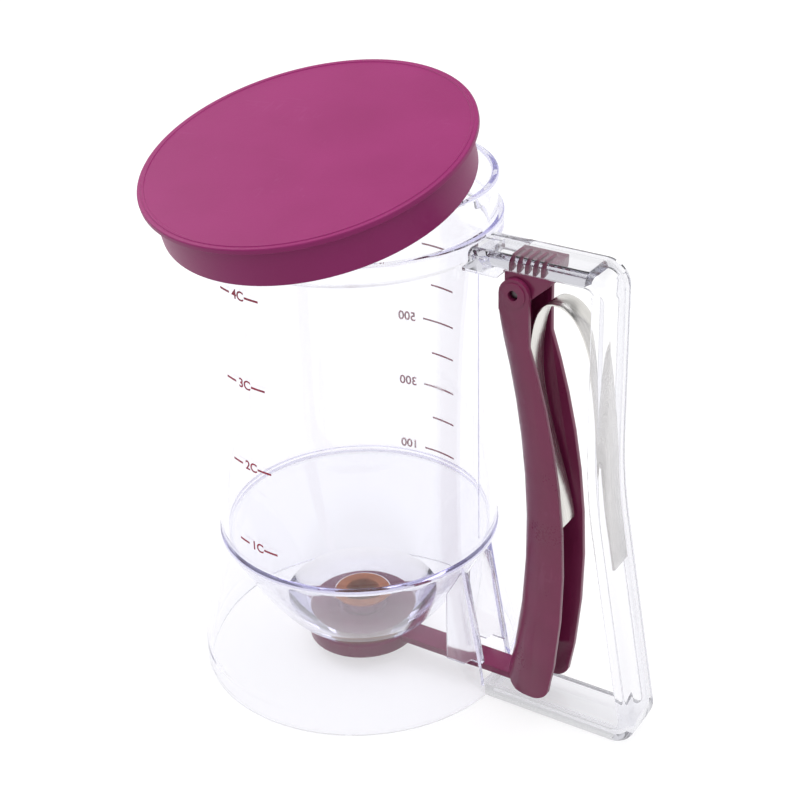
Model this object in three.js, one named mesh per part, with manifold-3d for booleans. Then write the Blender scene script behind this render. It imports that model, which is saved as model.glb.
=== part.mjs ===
import * as THREE from 'three';
import { mergeVertices } from 'three/addons/utils/BufferGeometryUtils.js';
import Module from 'manifold-3d';

// A hand-held batter dispenser in millimetres, +Z up. It is laid out on the jug's axis with the
// handle along +X, and the finished group is moved so that the origin lies under its middle.

const wasm = await Module();
wasm.setup();

// Clearances and overruns
const seatGap = 0.3;
const lidGap = 0.3;
const cutOverrun = 5;

// How finely round forms are drawn
const roundSides = 60;
const sealSides = 40;
const boreSides = 24;
const cornerSteps = 3;
const bendSteps = 4;
const bowlSteps = 8;
const leverSteps = 11;
const springSteps = 10;

// Barrel: seam at the foot, ledge for the lid, rim
const barrelRadius = 50.9;
const barrelWall = 2.4;
const seamHeight = 54.4;
const seamBead = 0.8;
const seamBeadHeight = 3;
const seatTop = 177;
const seatHeight = 5.5;
const seatStep = 2.2;
const rimTop = 190.5;
const rimFlare = 0.4;
const rimHeight = 4;
const edgeRound = 0.8;

// Bowl: steep at the seam, flat at the thick floor that holds the outlet
const bowlTopRadius = 50.2;
const bowlWall = 2.5;
const bowlFoot = 11;
const bowlFloor = 20;
const bowlApexRadius = 10.5;
const bowlApexHeight = 7.5;
const bowlCurveShare = 0.54;
const bowlSpreadShare = 1.5;
const seamBandHeight = 3.8;

// Silicone ring in the outlet
const sealFlangeRadius = 11.3;
const sealBodyRadius = 9.8;
const sealBore = 6.5;
const sealFlange = 1.8;
const sealProud = 0.3;
const sealRound = 0.5;

// Flared foot with the slot that the valve arm swings in
const footRadius = 59.4;
const footBandHeight = 8;
const footWall = 2.2;
const slotFloor = 5.2;

// Ribs beside the slot
const guideInner = 42.2;
const guideWall = 2;
const guideFoot = 11.5;
const guideStep = 49.5;
const guideNotch = 14;

// Handle: a channel that opens to the inside of its loop
const handleWidth = 19;
const handleTop = 176;
const handleReach = 103;
const handleCorner = 9;
const handleWeb = 2.3;
const handleWall = 2;
const handleEdge = 1.8;
const handleLip = 0.5;
const barDepth = 6;
const topDepth = 5;
const rootDepth = 8.4;
const rootReach = 63;
const rootBlock = 57;
const bendStart = 115;
const bendRadius = 200;
const bendAngle = THREE.MathUtils.degToRad(9.5);

// Hinge: pin, bracket and the ears of the trigger. Here and below, a place along the handle's
// reach is a share of the way from the lid's ledge to the grip's outer face.
const pinShare = 0.3206;
const pinDrop = 13.1;
const pinRadius = 1.5;
const pinRecess = 0.4;
const earRadius = 5.5;
const earToe = 2.3;
const bossRadius = 4.4;
const bossHeight = 0.6;
const blockRadius = 4.6;
const blockReachShare = 0.5591;
const blockShoulderDrop = 8.5;

// Lever: a channel with a half-round front, bowed towards the grip
const leverWidth = 18;
const leverWall = 1.9;
const leverDrop = 19;
const leverFoot = 7;
const leverFootRoundShare = 0.4;
const leverBlend = 11;
const leverSpreadShare = 1.5;
const leverLeastRound = 0.4;
const frontApexShare = 0.3627;
const frontApexDrop = 104;
const frontBow = 290;
const frontRoundShare = 0.5314;
const footRoundShare = 0.7886;
const frontAcrossShare = 0.95;
const backApexShare = 0.7134;
const backApexDrop = 116;
const backBow = 265;
const springRibTop = 83;
const springRibWall = 2;
const footRibHeight = 24;

// Valve disc that closes the outlet from below, and the arm that carries it
const discRadius = 20.5;
const discDepth = 5.5;
const discSkin = 2.4;
const discWall = 2.2;
const armWidth = 9.6;
const armDepth = 2.5;

// Leaf spring between the grip and the lever
const springWidth = 10;
const springThickness = 0.8;
const springTipShare = 0.6593;
const springTipZ = 78;
const springTipPullX = 2.5;
const springTipPullZ = 17;
const springKneeShare = 0.3968;
const springKneeDrop = 40;
const springKneePull = 19;
const springKneeRise = 12;
const springKneeLean = 1.6;
const springArchShare = 0.5792;
const springArchDrop = 15.4;
const springArchReach = 14;
const springOuterDrop = 68;
const springOuterPull = 20;
const springEndZ = 68;
const springTaper = 3;
const springEndWidth = 5;

// Lid, lying tilted on the rim
const lidRadius = 57.5;
const lidPlate = 2;
const lidSkirtDepth = 14.4;
const lidBore = 52.9;
const lidSkirtWall = 1.2;
const lidEdge = 0.6;
const lidLineHeight = 0.4;
const lidLineWidth = 1.2;
const lidLineInset = 1.4;
const lidTilt = THREE.MathUtils.degToRad(16);
const lidLean = THREE.MathUtils.degToRad(-104.7);

// Places that follow from the sizes above
const barrelBore = barrelRadius - barrelWall;
const bandRadius = barrelRadius + seamBead;
const bandTop = seamHeight + seamBeadHeight;
const seatRadius = barrelRadius + seatStep;
const rimRadius = barrelRadius + rimFlare;
const seatFoot = seatTop - seatHeight;
const rimTouch = rimRadius - edgeRound / 2;
const bowlTop = seamHeight - seatGap;
const bandFoot = bowlTop - seamBandHeight;
const skirtTop = bandFoot - seatGap;
const handleHalf = handleWidth / 2;
const handleBore = handleHalf - handleWall;
const pinX = mix(seatRadius, handleReach, pinShare);
const pinZ = handleTop - pinDrop;
const blockReach = mix(seatRadius, handleReach, blockReachShare);
const blockShoulder = handleTop - blockShoulderDrop;
const leverTop = handleTop - leverDrop;
const frontApexX = mix(seatRadius, handleReach, frontApexShare);
const backApexX = mix(seatRadius, handleReach, backApexShare);
const frontApexZ = handleTop - frontApexDrop;
const backApexZ = handleTop - backApexDrop;
const frontRound = (backApexX - frontApexX) * frontRoundShare;
const frontRoundFoot = (backApexX - frontApexX) * footRoundShare;
const leverFootRound = (backApexX - frontApexX) * leverFootRoundShare;
const springTipX = mix(seatRadius, handleReach, springTipShare);
const springKneeX = mix(seatRadius, handleReach, springKneeShare);
const springKneeZ = handleTop - springKneeDrop;
const springArchX = mix(seatRadius, handleReach, springArchShare);
const springArchTop = handleTop - springArchDrop;
const springOuterZ = handleTop - springOuterDrop;
const leverHalf = leverWidth / 2;
const leverBore = leverHalf - leverWall;
const leverLow = leverTop - leverBlend;
const pinBore = pinRadius + seatGap;
const valveTop = bowlFoot - seatGap;

function vectors(pairs) {
  return pairs.map(([x, y]) => new THREE.Vector2(x, y));
}

function mix(from, to, share) {
  return from + (to - from) * share;
}

// Turns a closed geometry's faces outwards.
function facingOut(geometry) {
  const position = geometry.getAttribute('position');
  const index = geometry.index.array;
  const a = new THREE.Vector3();
  const b = new THREE.Vector3();
  const c = new THREE.Vector3();
  let volume = 0;
  for (let i = 0; i < index.length; i += 3) {
    a.fromBufferAttribute(position, index[i]);
    b.fromBufferAttribute(position, index[i + 1]);
    c.fromBufferAttribute(position, index[i + 2]);
    volume += a.dot(b.cross(c));
  }
  if (volume < 0) {
    for (let i = 0; i < index.length; i += 3) {
      [index[i], index[i + 1]] = [index[i + 1], index[i]];
    }
  }
  return geometry;
}

function toSolid(geometry) {
  const bare = geometry.clone();
  bare.deleteAttribute('normal');
  bare.deleteAttribute('uv');
  const merged = facingOut(mergeVertices(bare));
  const mesh = new wasm.Mesh({
    numProp: 3,
    vertProperties: new Float32Array(merged.getAttribute('position').array),
    triVerts: new Uint32Array(merged.index.array),
  });
  return new wasm.Manifold(mesh);
}

function toGeometry(solid) {
  const mesh = solid.getMesh();
  const geometry = new THREE.BufferGeometry();
  geometry.setAttribute('position', new THREE.BufferAttribute(mesh.vertProperties, mesh.numProp));
  geometry.setIndex(new THREE.BufferAttribute(mesh.triVerts, 1));
  geometry.computeVertexNormals();
  return geometry;
}

// Form turned about the Z axis; the profile is pairs of radius and height.
function turned(profile, sides = roundSides) {
  const geometry = new THREE.LatheGeometry(vectors(profile), sides);
  geometry.rotateX(Math.PI / 2);
  return toSolid(geometry);
}

// A turned form with a hole in its middle, so its profile closes on itself.
function turnedRing(profile, sides = roundSides) {
  return turned([...profile, profile[0]], sides);
}

// Outline in the XZ plane, drawn across Y from one offset to another.
function plate(shape, from, to) {
  const geometry = new THREE.ExtrudeGeometry(shape, {
    depth: to - from,
    bevelEnabled: false,
    curveSegments: cornerSteps * 2,
  });
  geometry.rotateX(Math.PI / 2);
  geometry.translate(0, to, 0);
  return toSolid(geometry);
}

function block(x0, x1, y0, y1, z0, z1) {
  const geometry = new THREE.BoxGeometry(x1 - x0, y1 - y0, z1 - z0);
  geometry.translate((x0 + x1) / 2, (y0 + y1) / 2, (z0 + z1) / 2);
  return toSolid(geometry);
}

function rodAcross(radius, from, to, x, z) {
  const geometry = new THREE.CylinderGeometry(radius, radius, to - from, boreSides);
  geometry.translate(x, (from + to) / 2, z);
  return toSolid(geometry);
}

// Triangles that fill an outline, turning the same way as its points run.
function capOf(outline) {
  const turn = Math.sign(THREE.ShapeUtils.area(outline));
  return THREE.ShapeUtils.triangulateShape(outline, []).map(([a, b, c]) => {
    const size = THREE.ShapeUtils.area([outline[a], outline[b], outline[c]]);
    return Math.sign(size) === turn ? [a, b, c] : [a, c, b];
  });
}

// Skin over a row of sections that have the same count of points. place turns a point of a
// section into a point in space.
function loft(sections, place) {
  const count = sections[0].length;
  const positions = [];
  const triangles = [];
  sections.forEach((section, i) => {
    section.forEach((pair) => positions.push(...place(pair, i)));
  });
  for (let i = 0; i < sections.length - 1; i += 1) {
    for (let j = 0; j < count; j += 1) {
      const a = i * count + j;
      const b = i * count + ((j + 1) % count);
      triangles.push(a, b, a + count);
      triangles.push(b, b + count, a + count);
    }
  }
  const last = (sections.length - 1) * count;
  capOf(vectors(sections[0])).forEach(([a, b, c]) => triangles.push(a, c, b));
  capOf(vectors(sections[sections.length - 1])).forEach(([a, b, c]) => {
    triangles.push(last + a, last + b, last + c);
  });
  const geometry = new THREE.BufferGeometry();
  geometry.setAttribute('position', new THREE.Float32BufferAttribute(positions, 3));
  geometry.setIndex(triangles);
  return toSolid(geometry);
}

// Points of a quarter ellipse about a centre, starting at an angle.
function quarter(x, y, radiusX, radiusY, from, steps = cornerSteps) {
  const points = [];
  for (let i = 0; i <= steps; i += 1) {
    const angle = from + (Math.PI / 2) * (i / steps);
    points.push([x + radiusX * Math.cos(angle), y + radiusY * Math.sin(angle)]);
  }
  return points;
}

function barrel() {
  const top = rimTop - edgeRound;
  return turnedRing([
    [barrelBore, seamHeight],
    [bandRadius, seamHeight],
    [bandRadius, bandTop - seamBead],
    [barrelRadius, bandTop],
    [barrelRadius, seatFoot - seatStep],
    [seatRadius, seatFoot],
    ...quarter(seatRadius - edgeRound, seatTop - edgeRound, edgeRound, edgeRound, 0),
    [barrelRadius, seatTop],
    [barrelRadius, rimTop - rimHeight],
    ...quarter(rimRadius - edgeRound, top, edgeRound, edgeRound, 0),
    ...quarter(barrelBore + edgeRound, top, edgeRound, edgeRound, Math.PI / 2),
  ]);
}

// Outer radius of the bowl at a height.
function bowlRadius(height) {
  const rise = (height - bowlApexHeight) / (seamHeight - bowlApexHeight);
  return mix(bowlApexRadius, bowlTopRadius, rise ** bowlCurveShare);
}

function bowlOutside(top) {
  const points = [];
  for (let i = 0; i <= bowlSteps; i += 1) {
    const height = mix(bowlFoot, top, (i / bowlSteps) ** bowlSpreadShare);
    points.push([bowlRadius(height), height]);
  }
  return points;
}

// The outside moved in by the wall, from the top down to the flat floor.
function bowlInside() {
  const points = [];
  const outside = bowlOutside(bandFoot).reverse();
  let last = [barrelBore, bowlTop];
  for (const [radius, height] of outside) {
    const slope = (bowlRadius(height + seatGap) - radius) / seatGap;
    const length = Math.hypot(1, slope);
    const point = [radius - bowlWall / length, height + (bowlWall * slope) / length];
    if (point[1] < bowlFloor) {
      const share = (last[1] - bowlFloor) / (last[1] - point[1]);
      points.push([mix(last[0], point[0], share), bowlFloor]);
      break;
    }
    points.push(point);
    last = point;
  }
  return points;
}

function bowl() {
  const holeRadius = sealBodyRadius + seatGap;
  const flangeRadius = sealFlangeRadius + seatGap;
  const flangeSeat = bowlFloor + sealProud - sealFlange - seatGap;
  return turnedRing([
    [holeRadius, bowlFoot],
    ...bowlOutside(bandFoot),
    [bandRadius - edgeRound, bandFoot],
    [bandRadius, bandFoot + edgeRound],
    [bandRadius, bowlTop],
    [barrelBore, bowlTop],
    ...bowlInside(),
    [flangeRadius, bowlFloor],
    [flangeRadius, flangeSeat],
    [holeRadius, flangeSeat],
  ]);
}

function outletSeal() {
  const top = bowlFloor + sealProud;
  return turnedRing([
    [sealBore, bowlFoot],
    [sealBodyRadius, bowlFoot],
    [sealBodyRadius, top - sealFlange],
    [sealFlangeRadius, top - sealFlange],
    [sealFlangeRadius, top - sealRound],
    [sealFlangeRadius - sealRound, top],
    [sealBore + sealRound, top],
    [sealBore, top - sealRound],
  ], sealSides);
}

function baseSkirt() {
  const body = turnedRing([
    [footRadius - footWall, 0],
    [footRadius, 0],
    [footRadius, footBandHeight],
    [bandRadius, skirtTop],
    [bandRadius - footWall, skirtTop],
    [footRadius - footWall, footBandHeight],
  ]);
  const half = handleHalf + seatGap;
  const far = footRadius + cutOverrun;
  const slot = block(guideInner, far, -half, half, slotFloor, skirtTop + cutOverrun);
  return body.subtract(slot);
}

// Space inside the foot's outer face and under the bowl.
function footSpace() {
  const inside = turned([
    [0, 0],
    [footRadius, 0],
    [footRadius, footBandHeight],
    [bandRadius, skirtTop],
    [0, skirtTop],
  ]);
  const bowlSpace = turned([
    [0, bowlFoot - seatGap],
    ...bowlOutside(bowlTop).map(([radius, height]) => [radius + seatGap, height - seatGap]),
    [0, bowlTop],
  ]);
  return inside.subtract(bowlSpace);
}

// Rib that stands beside the slot, from the bowl down to a notch above the foot.
function armGuide(side) {
  const far = footRadius + cutOverrun;
  const outline = new THREE.Shape(vectors([
    [guideInner, guideFoot],
    [guideStep, guideFoot],
    [guideStep + guideNotch - guideFoot, guideNotch],
    [far, guideNotch],
    [far, skirtTop],
    [guideInner, skirtTop],
  ]));
  const edges = [side * handleHalf, side * (handleHalf - guideWall)];
  return plate(outline, Math.min(...edges), Math.max(...edges)).intersect(footSpace());
}

// What the jug fills, with a gap all round, for cutting the pieces that join it.
function jugSpace() {
  return turned([
    [0, -cutOverrun],
    [footRadius + seatGap, -cutOverrun],
    [footRadius + seatGap, footBandHeight],
    [bandRadius + seatGap, skirtTop],
    [bandRadius + seatGap, bandTop],
    [barrelRadius + seatGap, bandTop + seamBead],
    [barrelRadius + seatGap, seatFoot - seatStep - seatGap],
    [seatRadius + seatGap, seatFoot - seatGap],
    [seatRadius + seatGap, rimTop],
    [0, rimTop],
  ]);
}

// The grip's outer face in side view, from the jug's top round to its foot.
function handleLine() {
  const bendX = handleReach + bendRadius;
  const sine = Math.sin(bendAngle);
  const cosine = Math.cos(bendAngle);
  const lowX = bendX - bendRadius * cosine;
  const lowZ = bendStart - bendRadius * sine;
  const run = (lowZ - handleCorner - handleCorner * sine) / cosine;
  const line = new THREE.Path();
  line.moveTo(barrelBore, handleTop);
  line.lineTo(rootReach, handleTop);
  line.lineTo(rootReach + rootDepth - topDepth, handleTop);
  line.lineTo(handleReach - handleCorner, handleTop);
  line.absarc(handleReach - handleCorner, handleTop - handleCorner, handleCorner, Math.PI / 2, 0, true);
  line.lineTo(handleReach, bendStart);
  line.absarc(bendX, bendStart, bendRadius, Math.PI, Math.PI + bendAngle, false);
  line.lineTo(lowX + run * sine, lowZ - run * cosine);
  line.absarc(
    lowX + run * sine - handleCorner * cosine,
    handleCorner,
    handleCorner,
    bendAngle,
    -Math.PI / 2,
    true,
  );
  line.lineTo(barrelBore, 0);
  const points = line.getPoints(bendSteps);
  return points.filter((point, i) => i === 0 || point.distanceTo(points[i - 1]) > seatGap);
}

// Cross-section of the handle: pairs of depth under the outer face and offset across.
function handleSection(depth) {
  const round = handleEdge;
  const half = handleHalf;
  const bore = handleBore;
  const lip = handleLip;
  return [
    [depth - lip, half],
    ...quarter(round, half - round, round, round, Math.PI / 2),
    ...quarter(round, round - half, round, round, Math.PI),
    [depth - lip, -half],
    [depth, lip - half],
    [depth, -bore],
    [handleWeb + lip, -bore],
    [handleWeb, lip - bore],
    [handleWeb, bore - lip],
    [handleWeb + lip, bore],
    [depth, bore],
    [depth, half - lip],
  ];
}

function handleDepth(point) {
  if (point.y < handleTop - handleCorner / 2) {
    return barDepth;
  }
  return point.x > rootReach ? topDepth : rootDepth;
}

function handleFrame() {
  const points = handleLine();
  const sections = points.map((point) => handleSection(handleDepth(point)));
  const channel = loft(sections, ([depth, across], i) => {
    const before = points[Math.max(0, i - 1)];
    const after = points[Math.min(points.length - 1, i + 1)];
    const along = after.clone().sub(before).normalize();
    return [points[i].x + along.y * depth, across, points[i].y - along.x * depth];
  });
  const half = handleBore + handleLip;
  const topFill = block(barrelBore, rootBlock, -half, half,
    handleTop - rootDepth + handleLip, handleTop - handleWeb / 2);
  const lowFill = block(barrelBore, footRadius + handleWeb, -half, half,
    handleWeb / 2, barDepth - handleLip);
  return channel.add(topFill).add(lowFill).subtract(jugSpace());
}

// How far in the grip's face lies at a height, at a depth under its outer face.
function gripX(height, depth) {
  const radius = bendRadius + depth;
  const angle = Math.asin(Math.max(0, bendStart - height) / radius);
  const turn = Math.min(angle, bendAngle);
  const bent = handleReach + bendRadius - radius * Math.cos(turn);
  const low = bendStart - radius * Math.sin(turn);
  return bent + Math.max(0, Math.min(low, bendStart) - height) * Math.tan(turn);
}

function hingeBlock() {
  const top = handleTop - handleWeb - seatGap;
  const half = leverBore - seatGap;
  const outline = new THREE.Shape();
  outline.moveTo(pinX - blockRadius, top);
  outline.lineTo(pinX - blockRadius, pinZ);
  outline.absarc(pinX, pinZ, blockRadius, Math.PI, Math.PI * 1.75, false);
  outline.lineTo(blockReach, blockShoulder);
  outline.lineTo(blockReach, top);
  const hole = rodAcross(pinBore, -leverHalf, leverHalf, pinX, pinZ);
  return plate(outline, -half, half).subtract(hole);
}

function hingePin() {
  const half = leverHalf + bossHeight - pinRecess;
  return rodAcross(pinRadius, -half, half, pinX, pinZ);
}

// How far the lever's front has turned from square to round, from the ears downwards.
function leverGrown(height) {
  return THREE.MathUtils.clamp((leverTop - height) / leverBlend, 0, 1);
}

function leverFront(height) {
  const bow = (level) => frontApexX - frontBow + Math.sqrt(frontBow ** 2 - (level - frontApexZ) ** 2);
  const square = pinX - earRadius - bow(leverTop);
  return bow(height) + square * (1 - leverGrown(height));
}

function leverBack(height) {
  const bow = backApexX - backBow + Math.sqrt(backBow ** 2 - (height - backApexZ) ** 2);
  return Math.max(bow, pinX + earRadius);
}

// How deep the round of the lever's front is.
function leverRound(height) {
  const share = (leverTop - height) / (leverTop - leverFoot);
  return mix(frontRound, frontRoundFoot, share) * leverGrown(height);
}

// The lever as a solid bar with a round front, moved in by an inset. Its back runs on by the
// inset and the overrun, so that a bar with an inset hollows the lever out from behind.
function leverBar(inset) {
  const low = leverFoot - cutOverrun;
  const high = leverTop + inset;
  const half = leverHalf - inset;
  const heights = [];
  const sections = [];
  for (let i = 0; i <= leverSteps; i += 1) {
    const height = mix(high, low, (i / leverSteps) ** leverSpreadShare);
    const front = leverFront(height) + inset;
    const back = leverBack(height) + (inset > 0 ? cutOverrun : 0);
    const deep = Math.max(leverRound(height) - inset, leverLeastRound);
    const turn = leverHalf * frontAcrossShare * leverGrown(height) - inset;
    const across = Math.max(turn, leverLeastRound);
    heights.push(height);
    sections.push([
      [back, half],
      ...quarter(front + deep, half - across, deep, across, Math.PI / 2, cornerSteps * 2),
      ...quarter(front + deep, across - half, deep, across, Math.PI, cornerSteps * 2),
      [back, -half],
    ]);
  }
  return loft(sections, ([x, y], i) => [x, y, heights[i]]);
}

// Side view of the lever with its rounded foot, moved in by an inset.
function leverSide(inset) {
  const round = leverFootRound;
  const middle = leverFoot + round;
  const front = leverFront(middle);
  const back = leverBack(middle);
  const near = front - frontRoundFoot;
  const far = backApexX + cutOverrun * 2;
  const shape = new THREE.Shape();
  shape.moveTo(near, middle);
  shape.lineTo(front + inset, middle);
  shape.absarc(front + round, middle, round - inset, Math.PI, Math.PI * 1.5, false);
  shape.absarc(back - round, middle, round - inset, -Math.PI / 2, 0, false);
  shape.lineTo(far, middle);
  shape.lineTo(far, leverTop + cutOverrun);
  shape.lineTo(near, leverTop + cutOverrun);
  return plate(shape, -leverHalf - inset, leverHalf + inset);
}

// Cross rib in the lever: from its web back to a line that follows the open edge.
function leverRib(top, wall, back) {
  const half = leverBore + leverWall / 2;
  return block(leverFront(top) + leverWall / 2, back, -half, half, top - wall, top);
}

function leverEar(side) {
  const shape = new THREE.Shape();
  shape.moveTo(pinX - earRadius, leverTop);
  shape.lineTo(pinX - earRadius, pinZ);
  shape.absarc(pinX, pinZ, earRadius, Math.PI, 0, true);
  shape.lineTo(pinX + earRadius, leverLow);
  shape.lineTo(pinX + earToe, leverLow);
  const cheek = [side * leverBore, side * leverHalf];
  const boss = [side * leverBore, side * (leverHalf + bossHeight)];
  const ear = plate(shape, Math.min(...cheek), Math.max(...cheek));
  return ear.add(rodAcross(bossRadius, Math.min(...boss), Math.max(...boss), pinX, pinZ));
}

function valveDisc() {
  const foot = valveTop - discDepth;
  return turned([
    [0, valveTop - discSkin],
    [discRadius - discWall, valveTop - discSkin],
    [discRadius - discWall, foot],
    [discRadius, foot],
    [discRadius, valveTop - edgeRound],
    [discRadius - edgeRound, valveTop],
    [0, valveTop],
  ]);
}

// One moulding: ears, hollow lever, arm and valve disc.
function trigger() {
  const outside = leverBar(0).intersect(leverSide(0));
  const inside = leverBar(leverWall).intersect(leverSide(leverWall));
  const springRib = leverRib(springRibTop, springRibWall, springTipX - springThickness * 2);
  const footRib = leverRib(footRibHeight, leverWall, leverBack(footRibHeight) - leverWall);
  const armEnd = leverFront(valveTop) + leverFootRound;
  const arm = block(discRadius - discWall, armEnd, -armWidth / 2, armWidth / 2,
    valveTop - armDepth, valveTop);
  let body = outside.subtract(inside);
  body = body.add(springRib.intersect(outside)).add(footRib.intersect(outside));
  body = body.add(leverEar(1)).add(leverEar(-1));
  body = body.add(arm).add(valveDisc());
  return body.subtract(rodAcross(pinBore, -leverWidth, leverWidth, pinX, pinZ));
}

// The spring's middle line in side view: up its inner leg, over the arch and down the grip.
function springLine() {
  const tip = new THREE.Vector2(springTipX, springTipZ);
  const knee = new THREE.Vector2(springKneeX, springKneeZ);
  const arch = new THREE.Vector2(springArchX, springArchTop);
  const restDepth = handleWeb + seatGap + springThickness / 2;
  const outer = new THREE.Vector2(gripX(springOuterZ, restDepth), springOuterZ);
  const line = new THREE.CurvePath();
  line.add(new THREE.CubicBezierCurve(
    tip,
    new THREE.Vector2(tip.x - springTipPullX, tip.y + springTipPullZ),
    new THREE.Vector2(knee.x, knee.y - springKneePull),
    knee,
  ));
  line.add(new THREE.CubicBezierCurve(
    knee,
    new THREE.Vector2(knee.x, knee.y + springKneeRise),
    new THREE.Vector2(knee.x + springKneeLean, arch.y),
    arch,
  ));
  line.add(new THREE.CubicBezierCurve(
    arch,
    new THREE.Vector2(arch.x + springArchReach, arch.y),
    new THREE.Vector2(outer.x - springKneeLean, outer.y + springOuterPull),
    outer,
  ));
  const points = line.getPoints(springSteps);
  for (let i = 1; i <= springSteps / 2; i += 1) {
    const height = mix(springOuterZ, springEndZ, (i * 2) / springSteps);
    points.push(new THREE.Vector2(gripX(height, restDepth), height));
  }
  return points;
}

function leafSpring() {
  const points = springLine();
  const lengths = [0];
  for (let i = 1; i < points.length; i += 1) {
    lengths.push(lengths[i - 1] + points[i].distanceTo(points[i - 1]));
  }
  const total = lengths[lengths.length - 1];
  const half = springThickness / 2;
  const sections = points.map((point, i) => {
    const fromEnd = Math.min(lengths[i], total - lengths[i], springTaper) / springTaper;
    const across = mix(springEndWidth, springWidth, fromEnd) / 2;
    return [[-half, -across], [half, -across], [half, across], [-half, across]];
  });
  return loft(sections, ([offset, across], i) => {
    const before = points[Math.max(0, i - 1)];
    const after = points[Math.min(points.length - 1, i + 1)];
    const along = after.clone().sub(before).normalize();
    return [points[i].x + along.y * offset, across, points[i].y - along.x * offset];
  });
}

// The lid about its own axis, with the plate's underside at height zero.
function lid() {
  const skirtRadius = lidBore + lidSkirtWall;
  const lineOuter = lidRadius - lidLineInset;
  const lineInner = lineOuter - lidLineWidth;
  return turned([
    [0, 0],
    [lidBore, 0],
    [lidBore, -lidSkirtDepth],
    [skirtRadius, -lidSkirtDepth],
    [skirtRadius, 0],
    [lidRadius, 0],
    [lidRadius, lidPlate - lidEdge],
    [lidRadius - lidEdge, lidPlate],
    [lineOuter, lidPlate],
    [lineOuter - lidLineHeight, lidPlate + lidLineHeight],
    [lineInner + lidLineHeight, lidPlate + lidLineHeight],
    [lineInner, lidPlate],
    [0, lidPlate],
  ]);
}

// Where a tilted lid comes to rest: its plate lies on the rim at the low side, and the foot of
// its skirt touches the rim at two points beside it.
function lidSeat() {
  const sine = Math.sin(lidTilt);
  const cosine = Math.cos(lidTilt);
  const rise = rimTouch * sine + lidGap;
  const touch = rimTouch - (lidSkirtDepth - lidGap) / sine;
  const reach = Math.sqrt((lidBore - lidGap) ** 2 - rimTouch ** 2 + touch ** 2);
  const shift = cosine * (reach + touch * cosine + rise * Math.tan(lidTilt));
  const height = rimTop + ((rimTouch - shift) * sine + lidGap) / cosine;
  return new THREE.Vector3(shift, 0, height);
}

const clearPlastic = new THREE.MeshStandardMaterial({
  color: 0xdcdce8,
  roughness: 0.1,
  metalness: 0,
  transparent: true,
  opacity: 0.4,
});
const lidPlastic = new THREE.MeshStandardMaterial({ color: 0xa03773, roughness: 0.4, metalness: 0 });
const triggerPlastic = new THREE.MeshStandardMaterial({ color: 0x8c2365, roughness: 0.35, metalness: 0 });
const springSteel = new THREE.MeshStandardMaterial({ color: 0xc4c6ca, roughness: 0.25, metalness: 1 });
const amberSilicone = new THREE.MeshStandardMaterial({ color: 0xb8763a, roughness: 0.5, metalness: 0 });

function piece(name, solid, material) {
  const mesh = new THREE.Mesh(toGeometry(solid), material);
  mesh.name = name;
  return mesh;
}

const group = new THREE.Group();
group.add(piece('barrel', barrel(), clearPlastic));
group.add(piece('bowl', bowl(), clearPlastic));
group.add(piece('base_skirt', baseSkirt(), clearPlastic));
group.add(piece('arm_guide_left', armGuide(1), clearPlastic));
group.add(piece('arm_guide_right', armGuide(-1), clearPlastic));
group.add(piece('handle_frame', handleFrame(), clearPlastic));
group.add(piece('hinge_block', hingeBlock(), triggerPlastic));
group.add(piece('hinge_pin', hingePin(), springSteel));
group.add(piece('trigger', trigger(), triggerPlastic));
group.add(piece('leaf_spring', leafSpring(), springSteel));
group.add(piece('outlet_seal', outletSeal(), amberSilicone));

const lidMesh = piece('lid', lid(), lidPlastic);
lidMesh.position.copy(lidSeat());
lidMesh.rotation.y = lidTilt;
const lidTurn = new THREE.Group();
lidTurn.rotation.z = lidLean;
lidTurn.add(lidMesh);
group.add(lidTurn);

// The origin goes under the middle of the whole object, on the surface that it stands on.
const bounds = new THREE.Box3().setFromObject(group, true);
const middle = bounds.getCenter(new THREE.Vector3());
group.position.set(-middle.x, -middle.y, -bounds.min.z);
group.updateMatrixWorld(true);

export default group;
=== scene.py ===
import math

import bmesh
import bpy
from mathutils import Matrix, Vector
from mathutils.geometry import interpolate_bezier


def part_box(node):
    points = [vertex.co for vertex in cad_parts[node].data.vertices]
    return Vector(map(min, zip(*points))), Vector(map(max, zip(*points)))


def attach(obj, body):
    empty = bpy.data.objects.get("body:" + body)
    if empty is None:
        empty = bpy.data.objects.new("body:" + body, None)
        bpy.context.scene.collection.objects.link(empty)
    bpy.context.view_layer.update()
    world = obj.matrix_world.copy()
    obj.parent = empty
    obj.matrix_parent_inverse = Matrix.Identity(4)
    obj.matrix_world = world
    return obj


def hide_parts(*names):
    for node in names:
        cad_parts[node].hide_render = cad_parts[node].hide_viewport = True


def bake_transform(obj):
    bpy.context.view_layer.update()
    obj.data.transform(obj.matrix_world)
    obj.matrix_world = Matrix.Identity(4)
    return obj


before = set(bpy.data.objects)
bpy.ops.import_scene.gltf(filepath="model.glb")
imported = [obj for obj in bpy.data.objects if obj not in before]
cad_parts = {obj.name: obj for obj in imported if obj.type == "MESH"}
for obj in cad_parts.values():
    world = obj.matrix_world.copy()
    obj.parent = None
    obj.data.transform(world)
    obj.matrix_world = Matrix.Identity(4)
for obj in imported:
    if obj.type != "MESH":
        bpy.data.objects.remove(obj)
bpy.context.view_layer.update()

# Shapes are drawn in millimetres on the jug's axis, with the handle towards +X.
# toRow then puts them in the row frame.
barrelLow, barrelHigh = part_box("barrel")
jugMiddle = (barrelLow + barrelHigh) / 2
toRow = Matrix.Translation((jugMiddle.x, jugMiddle.y, 0)) @ Matrix.Scale(0.001, 4)
print("frame loaded, the jug's axis is at", round(jugMiddle.x, 5), round(jugMiddle.y, 5))


# Shapes
mesher = {"mergeGap": 1e-4, "cadMergeGap": 1e-3, "sliver": 0.01, "flatAngle": 0.6, "axisRadius": 0.01}
onAxis = mesher["axisRadius"]  # turned profiles start this close to the axis


def mix(low, high, share):
    return low + (high - low) * share


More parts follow.
